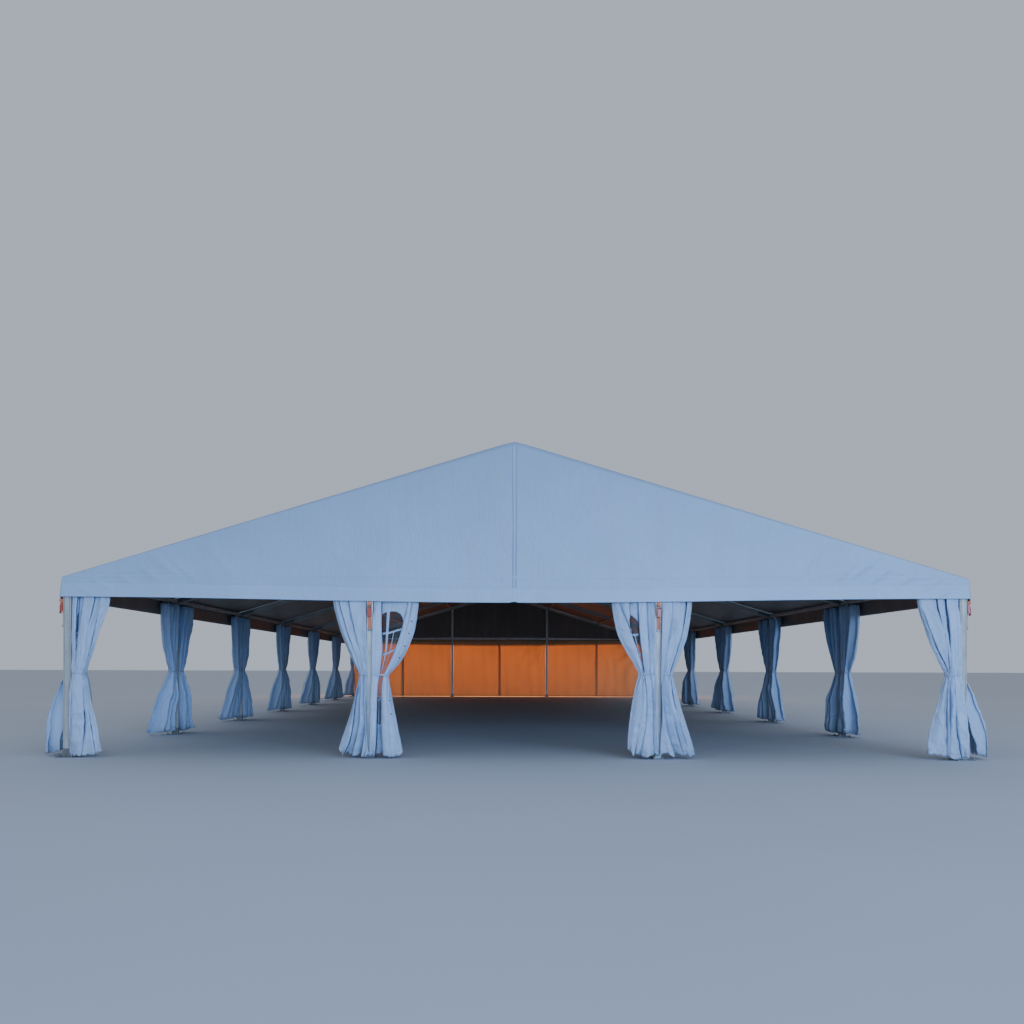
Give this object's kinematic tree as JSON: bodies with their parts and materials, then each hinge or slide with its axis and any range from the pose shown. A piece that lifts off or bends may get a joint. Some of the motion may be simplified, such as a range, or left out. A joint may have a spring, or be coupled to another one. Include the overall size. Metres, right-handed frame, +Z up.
{
  "type": "clear-span frame marquee, 15 m by 30 m, with tied-back curtains",
  "caption": "White PVC clear-span event marquee on an aluminium frame, with open sides, tied-back curtains at the posts and a closed rear gable.",
  "frame": {"origin": "on the ground, at the centre of the plan", "axes": "+X across the 15 m span, +Y along the length away from the open front gable, +Z up"},
  "size_m": [15.7446, 30.3589, 5.3087],
  "materials": {
    "aluminium_frame": "mill-finished extrusion",
    "roof_fabric": "lacquered PVC-coated polyester, opaque white",
    "curtain_fabric": "PVC-coated polyester, translucent white",
    "window_film": "clear flexible PVC",
    "strap_webbing": "woven orange polyester",
    "painted_buckle": "red enamel",
    "steel_fixings": "zinc-plated"
  },
  "bodies": {
    "root": {"upright_left_1": "aluminium_frame", "upright_left_2": "aluminium_frame", "upright_left_3": "aluminium_frame", "upright_left_4": "aluminium_frame", "upright_left_5": "aluminium_frame", "upright_left_6": "aluminium_frame", "upright_left_7": "aluminium_frame", "upright_right_1": "aluminium_frame", "upright_right_2": "aluminium_frame", "upright_right_3": "aluminium_frame", "upright_right_4": "aluminium_frame", "upright_right_5": "aluminium_frame", "upright_right_6": "aluminium_frame", "upright_right_7": "aluminium_frame", "rafter_pair_1": "aluminium_frame", "rafter_pair_2": "aluminium_frame", "rafter_pair_3": "aluminium_frame", "rafter_pair_4": "aluminium_frame", "rafter_pair_5": "aluminium_frame", "rafter_pair_6": "aluminium_frame", "rafter_pair_7": "aluminium_frame", "ridge_purlin": "aluminium_frame", "eave_purlin_left": "aluminium_frame", "upper_purlin_left": "aluminium_frame", "lower_purlin_left": "aluminium_frame", "eave_purlin_right": "aluminium_frame", "upper_purlin_right": "aluminium_frame", "lower_purlin_right": "aluminium_frame", "gable_frame_front": "aluminium_frame", "gable_frame_rear": "aluminium_frame", "roof_cover_bay_1": "roof_fabric", "roof_cover_bay_2": "roof_fabric", "roof_cover_bay_3": "roof_fabric", "roof_cover_bay_4": "roof_fabric", "roof_cover_bay_5": "roof_fabric", "roof_cover_bay_6": "roof_fabric", "gable_cover_front": "roof_fabric", "gable_cover_rear": "roof_fabric", "curtains_front_left_corner": "curtain_fabric", "curtains_front_right_corner": "curtain_fabric", "curtains_front_mid_left": "curtain_fabric", "curtains_front_mid_right": "curtain_fabric", "curtains_left_2": "curtain_fabric", "curtains_left_3": "curtain_fabric", "curtains_left_4": "curtain_fabric", "curtains_left_5": "curtain_fabric", "curtains_left_6": "curtain_fabric", "curtain_rear_left_corner": "curtain_fabric", "curtains_right_2": "curtain_fabric", "curtains_right_3": "curtain_fabric", "curtains_right_4": "curtain_fabric", "curtains_right_5": "curtain_fabric", "curtains_right_6": "curtain_fabric", "curtain_rear_right_corner": "curtain_fabric", "rear_wall_left": "curtain_fabric", "rear_wall_middle": "curtain_fabric", "rear_wall_right": "curtain_fabric"}
  },
  "joints": []
}
